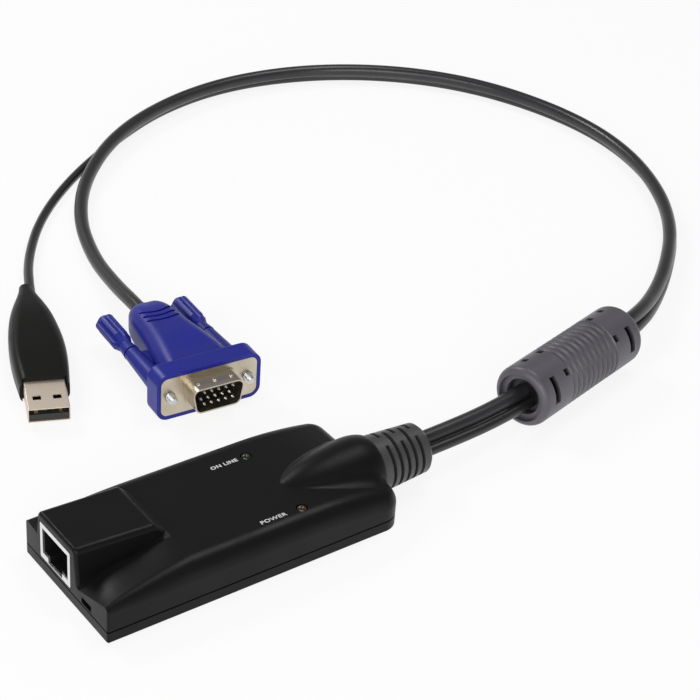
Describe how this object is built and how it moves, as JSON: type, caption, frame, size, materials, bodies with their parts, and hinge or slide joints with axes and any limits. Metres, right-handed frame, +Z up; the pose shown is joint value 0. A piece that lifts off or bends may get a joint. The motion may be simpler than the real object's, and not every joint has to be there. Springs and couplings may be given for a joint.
{
  "type": "kvm dongle",
  "caption": "Slim moulded server adapter with a shielded network jack and a joined cord ending in a video plug and a USB plug.",
  "frame": {"origin": "on the table, under the middle of the case", "axes": "+X along the case from the jack end to the cord end, +Y across it towards the two plugs, +Z up"},
  "size_m": [0.2964, 0.2516, 0.0188],
  "materials": {
    "housing": "near-black satin moulded housing",
    "screw_steel": "zinc-plated steel",
    "board": "green solder mask",
    "chip_black": "black moulded chip body",
    "can_metal": "drawn metal can",
    "ceramic": "ceramic chips with tinned ends",
    "header_nylon": "natural nylon header",
    "lead_insulation": "insulated leads in mixed colours",
    "led_green": "tinted lamp resin",
    "led_amber": "clear lamp resin",
    "tinned_wire": "tinned wire",
    "jack_plate": "bright plated folded sheet",
    "jack_black": "black glass-filled plastic",
    "gold": "gold-plated contacts",
    "switch_black": "black switch body",
    "knob_white": "white knob",
    "boot_rubber": "soft dark grey moulding",
    "video_jacket": "dark grey cord jacket",
    "usb_jacket": "black cord jacket",
    "ferrite_shell": "dark grey moulded sleeve",
    "ferrite_ceramic": "sintered ferrite",
    "blue_hood": "royal blue moulding",
    "video_nickel": "nickel-plated stamped shell",
    "insulator_black": "black pin insulator",
    "usb_black": "black overmould",
    "usb_nickel": "nickel-plated stamped shell",
    "tongue_black": "black tongue"
  },
  "bodies": {
    "dongle": {"top_cover": "housing", "bottom_cover": "housing", "cover_screws": "screw_steel", "circuit_board": "board", "main_chip": "chip_black", "memory_chip": "chip_black", "usb_chip": "chip_black", "crystal": "can_metal", "capacitors": "can_metal", "small_parts": "ceramic", "cord_header": "header_nylon", "signal_leads": "lead_insulation", "link_led": "led_green", "power_led": "led_amber", "lamp_legs": "tinned_wire", "jack_shield": "jack_plate", "jack_housing": "jack_black", "jack_contacts": "gold", "switch_body": "switch_black", "strain_relief": "boot_rubber", "video_cord": "video_jacket", "usb_cord": "usb_jacket", "ferrite_sleeve": "ferrite_shell", "ferrite_core": "ferrite_ceramic", "video_hood": "blue_hood", "video_shell": "video_nickel", "video_insulator": "insulator_black", "video_pins": "gold", "usb_overmould": "usb_black", "usb_shell": "usb_nickel", "usb_tongue": "tongue_black", "usb_contacts": "gold"},
    "left_screw": {"left_thumb_grip": "blue_hood", "left_jackscrew": "screw_steel"},
    "right_screw": {"right_thumb_grip": "blue_hood", "right_jackscrew": "screw_steel"},
    "knob": {"switch_knob": "knob_white"}
  },
  "joints": [
    {"name": "left_screw_turn", "type": "hinge", "parent": "dongle", "child": "left_screw", "pos_m": [0.01949, 0.07331, 0.00755], "axis": [0.0872, 0.9962, 0], "continuous": true},
    {"name": "right_screw_turn", "type": "hinge", "parent": "dongle", "child": "right_screw", "pos_m": [0.0444, 0.07113, 0.00755], "axis": [0.0872, 0.9962, 0], "continuous": true},
    {"name": "switch_slide", "type": "slide", "parent": "dongle", "child": "knob", "axis": [0, 1, 0], "range_m": [0, 0.0018]}
  ]
}
